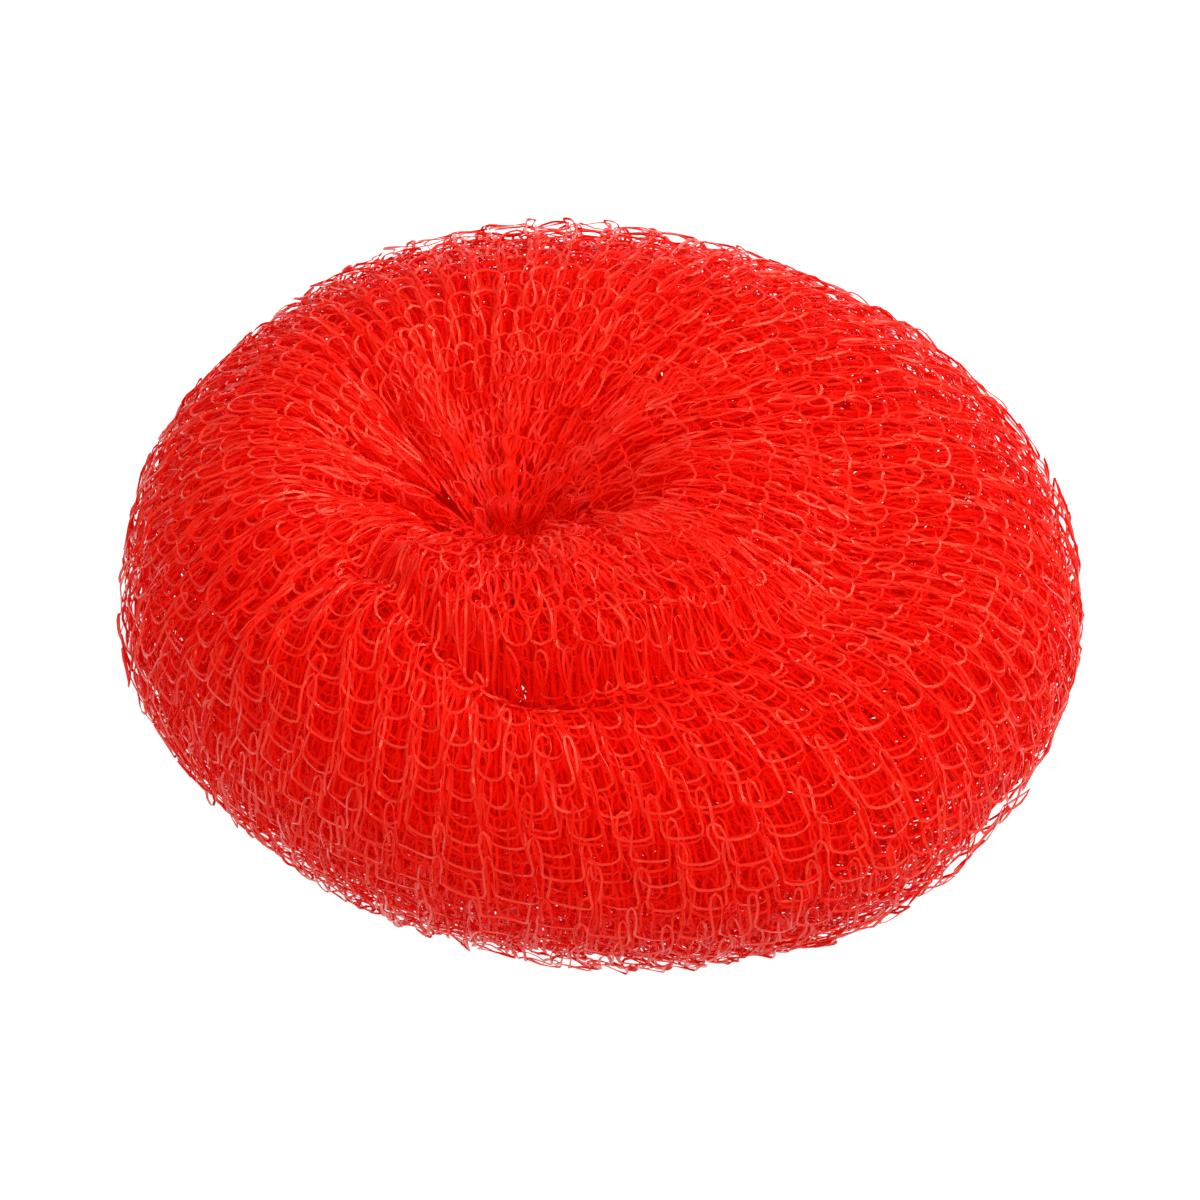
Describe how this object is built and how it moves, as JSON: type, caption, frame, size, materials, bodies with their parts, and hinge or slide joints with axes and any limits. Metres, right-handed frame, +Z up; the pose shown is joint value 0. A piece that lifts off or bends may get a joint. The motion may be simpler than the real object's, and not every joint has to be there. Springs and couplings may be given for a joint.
{
  "type": "nylon mesh scrubber",
  "caption": "Round scouring pad: a knitted red nylon mesh sleeve rolled on itself into a fat soft ring, gathered and tied at its centre.",
  "frame": {"origin": "centre of the plan outline, on the face that the ring rests on", "axes": "+Z up through the ring's thickness, +X to the right and +Y away from the viewer as in the picture"},
  "size_m": [0.0956, 0.0906, 0.0381],
  "materials": {
    "nylon_mesh": "bright red, slightly see-through flat nylon yarn with a soft gloss",
    "inner_mesh": "the same red nylon yarn, seen through the turns over it",
    "tie_thread": "matt red sewing thread"
  },
  "bodies": {
    "root": {"outer_net": "nylon_mesh", "gathered_throat": "nylon_mesh", "second_turn": "inner_mesh", "third_turn": "inner_mesh", "rolled_core": "inner_mesh", "closing_tie": "tie_thread"}
  },
  "joints": []
}
